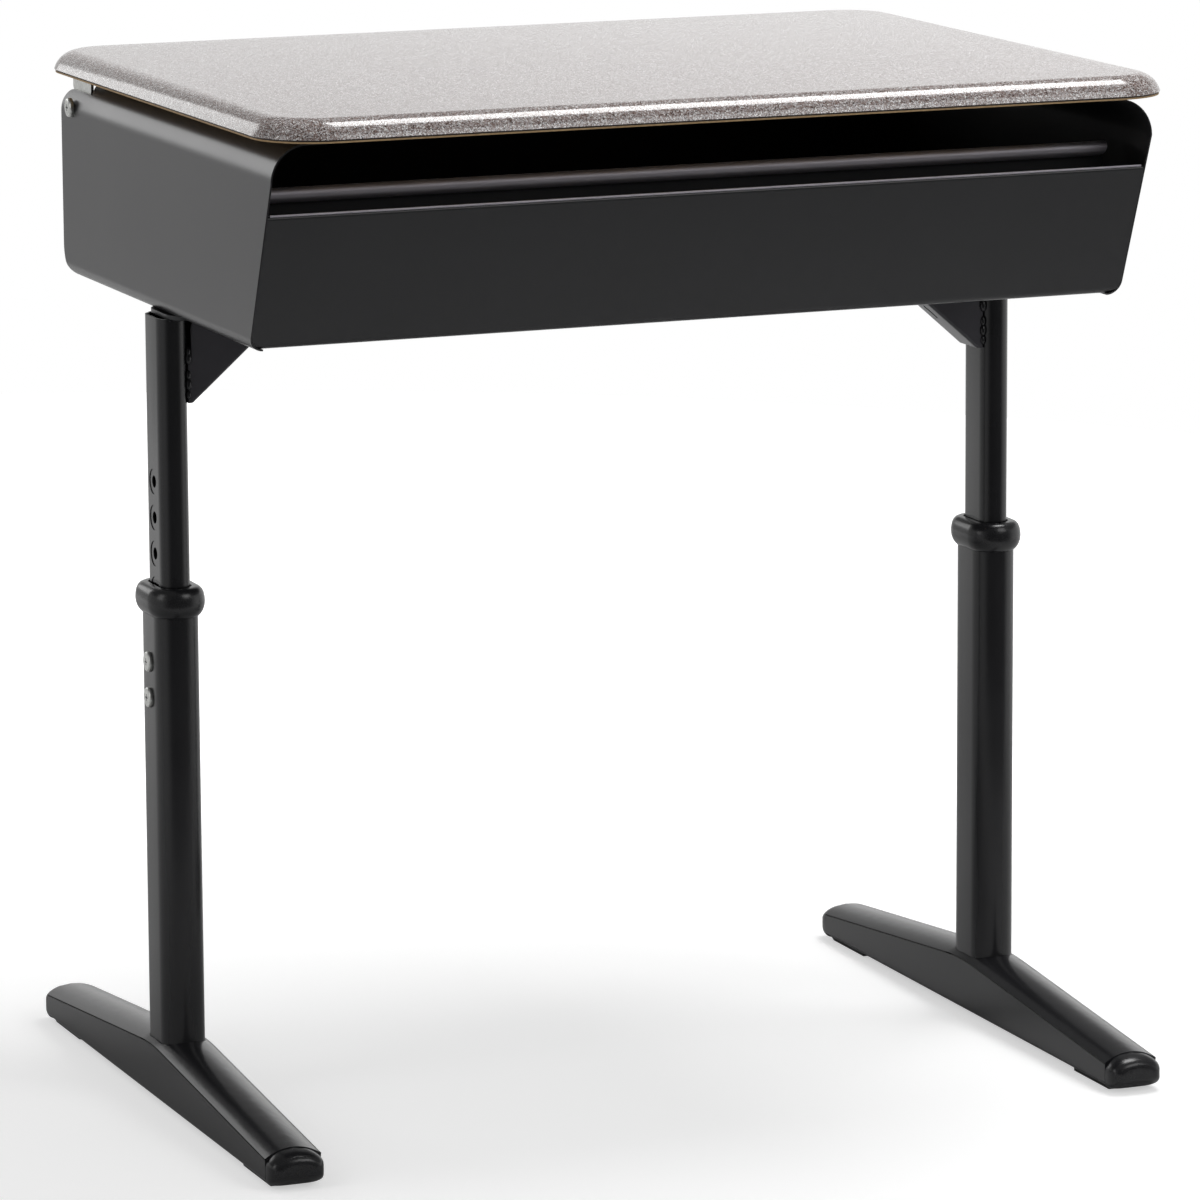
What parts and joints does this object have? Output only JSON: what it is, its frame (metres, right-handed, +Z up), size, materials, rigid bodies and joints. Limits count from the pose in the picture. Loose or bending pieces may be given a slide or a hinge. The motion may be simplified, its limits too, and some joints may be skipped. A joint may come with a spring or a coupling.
{
  "type": "school desk with lift lid",
  "caption": "School desk: a speckled lid with rolled edges lifts on rear side pivots over a steel book box with a pencil trough, on two height-adjustable legs with long channel feet.",
  "frame": {"origin": "middle of the desk's outline on the floor: midway between the outer faces of the feet, and midway between the lid's front edge and the feet's rear tips", "axes": "+X to the sitter's right, +Y to the back, +Z up; the sitter is on the -Y side"},
  "size_m": [0.67, 0.533, 0.7237],
  "materials": {
    "lid_surface": "fine-grained speckled plastic laminate in warm grey with brown and white grains, satin",
    "lid_backer": "raw brown backing board, seen as a thin line along the lid's lower edge",
    "box_paint": "satin charcoal powder coat on bent sheet steel",
    "leg_paint": "semi-gloss charcoal powder coat on steel tube and channel",
    "black_plastic": "black moulded plastic, slightly glossy",
    "zinc": "bright zinc-plated steel",
    "rubber": "matte black rubber"
  },
  "bodies": {
    "left_leg_base": {"lower_leg_left": "leg_paint", "collar_left": "black_plastic", "adjusting_bolts_left": "zinc", "foot_beam_left": "leg_paint", "foot_cover_left": "leg_paint", "foot_cap_left_front": "black_plastic", "foot_cap_left_rear": "black_plastic"},
    "desk_body": {"box_tray": "box_paint", "pencil_trough": "box_paint", "lid_bumpers": "rubber", "plate_bolts": "zinc", "side_panel_left": "box_paint", "pivot_bolt_left": "zinc", "leg_plate_left": "box_paint", "gusset_left": "leg_paint", "upper_leg_left": "leg_paint", "upper_leg_plug_left": "black_plastic", "side_panel_right": "box_paint", "pivot_bolt_right": "zinc", "leg_plate_right": "box_paint", "gusset_right": "leg_paint", "upper_leg_right": "leg_paint", "upper_leg_plug_right": "black_plastic"},
    "right_leg_base": {"lower_leg_right": "leg_paint", "collar_right": "black_plastic", "adjusting_bolts_right": "zinc", "foot_beam_right": "leg_paint", "foot_cover_right": "leg_paint", "foot_cap_right_front": "black_plastic", "foot_cap_right_rear": "black_plastic"},
    "lid": {"lid_panel": "lid_surface", "lid_backer": "lid_backer", "hinge_leaf_left": "zinc", "hinge_leaf_right": "zinc", "hinge_screws": "zinc"}
  },
  "joints": [
    {"name": "left_leg_slide", "type": "slide", "parent": "left_leg_base", "child": "desk_body", "axis": [0, 0, 1], "range_m": [-0.127, 0.0762]},
    {"name": "right_leg_slide", "type": "slide", "parent": "desk_body", "child": "right_leg_base", "axis": [0, 0, -1], "range_m": [-0.127, 0.0762]},
    {"name": "lid_hinge", "type": "hinge", "parent": "desk_body", "child": "lid", "pos_m": [0, 0.19, 0.6845], "axis": [-1, 0, 0], "range_deg": [0, 80]}
  ],
  "couplings": [
    {"joint": "right_leg_slide", "follows": "left_leg_slide", "ratio": 1}
  ]
}
